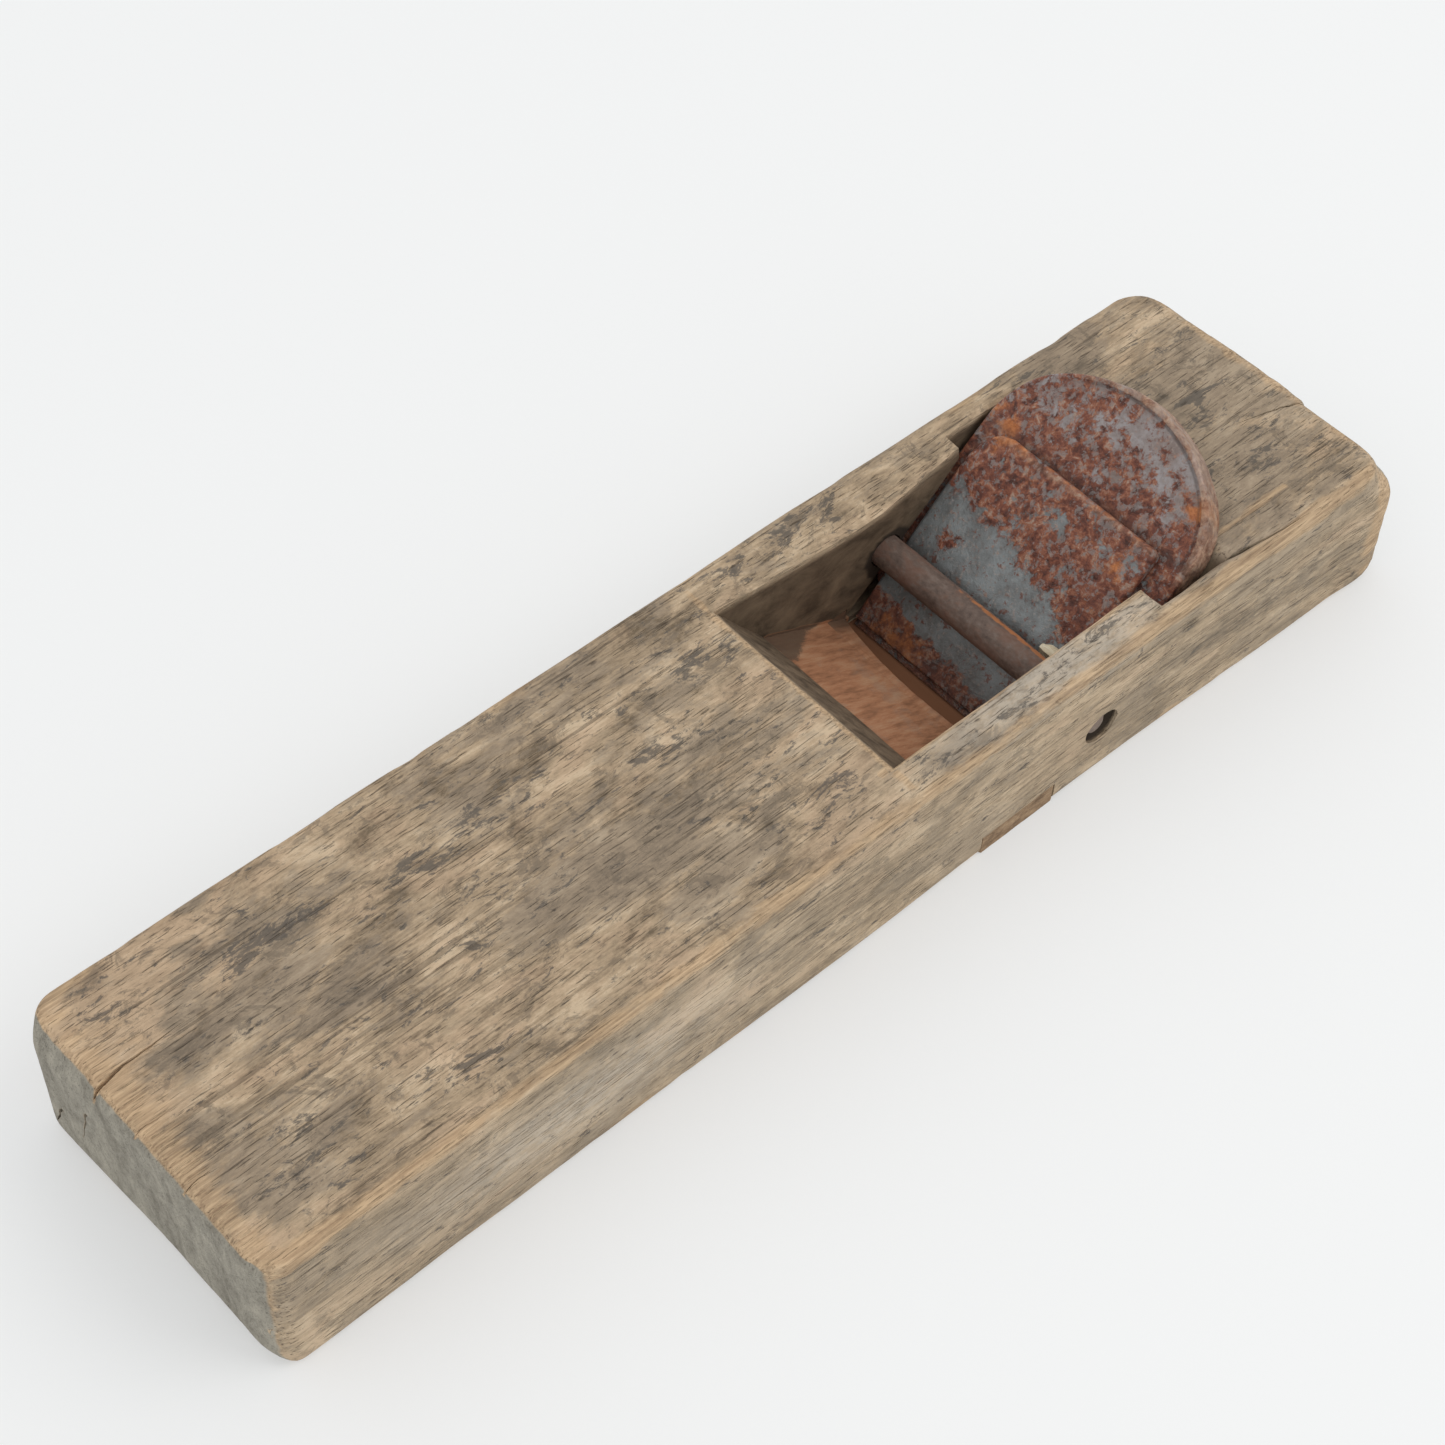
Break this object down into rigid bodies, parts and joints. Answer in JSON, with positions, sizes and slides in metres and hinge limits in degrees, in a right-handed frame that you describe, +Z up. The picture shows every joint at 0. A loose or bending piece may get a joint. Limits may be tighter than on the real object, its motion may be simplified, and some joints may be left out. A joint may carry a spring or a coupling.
{
  "type": "hand plane",
  "caption": "Wooden hand plane of the Japanese pull pattern: a long low block with a sloped chip well, a round-headed blade, a chip breaker under a cross pin, and an inlaid mouth patch.",
  "frame": {"origin": "centre of the sole, on the surface that the plane rests on", "axes": "+X along the block towards the end that the blade leans to, +Y across the block, +Z up out of the chip well"},
  "size_m": [0.276, 0.068, 0.0491],
  "materials": {
    "weathered_oak": "dry, weathered, open grained hardwood with dark stains and pale worn edges",
    "red_hardwood": "reddish hardwood, dry and unpolished",
    "rusted_iron": "forged iron with patchy red-brown rust over blue-grey metal",
    "grey_steel": "dull blue-grey steel with rust spots",
    "brown_iron": "brown oxidised iron rod",
    "pale_splinter": "fresh split pale wood"
  },
  "bodies": {
    "block": {"plane_block": "weathered_oak", "mouth_patch": "red_hardwood", "cross_pin": "brown_iron"},
    "blade": {"blade_iron": "rusted_iron", "blade_steel": "grey_steel"},
    "chip_breaker": {"chip_breaker_iron": "rusted_iron", "chip_breaker_steel": "grey_steel", "packing_splinter": "pale_splinter"}
  },
  "joints": [
    {"name": "blade_slide", "type": "slide", "parent": "block", "child": "blade", "axis": [0.7472, 0, 0.6645], "range_m": [0, 0.05]},
    {"name": "chip_breaker_slide", "type": "slide", "parent": "blade", "child": "chip_breaker", "axis": [0.7314, 0, 0.682], "range_m": [0, 0.03]}
  ]
}
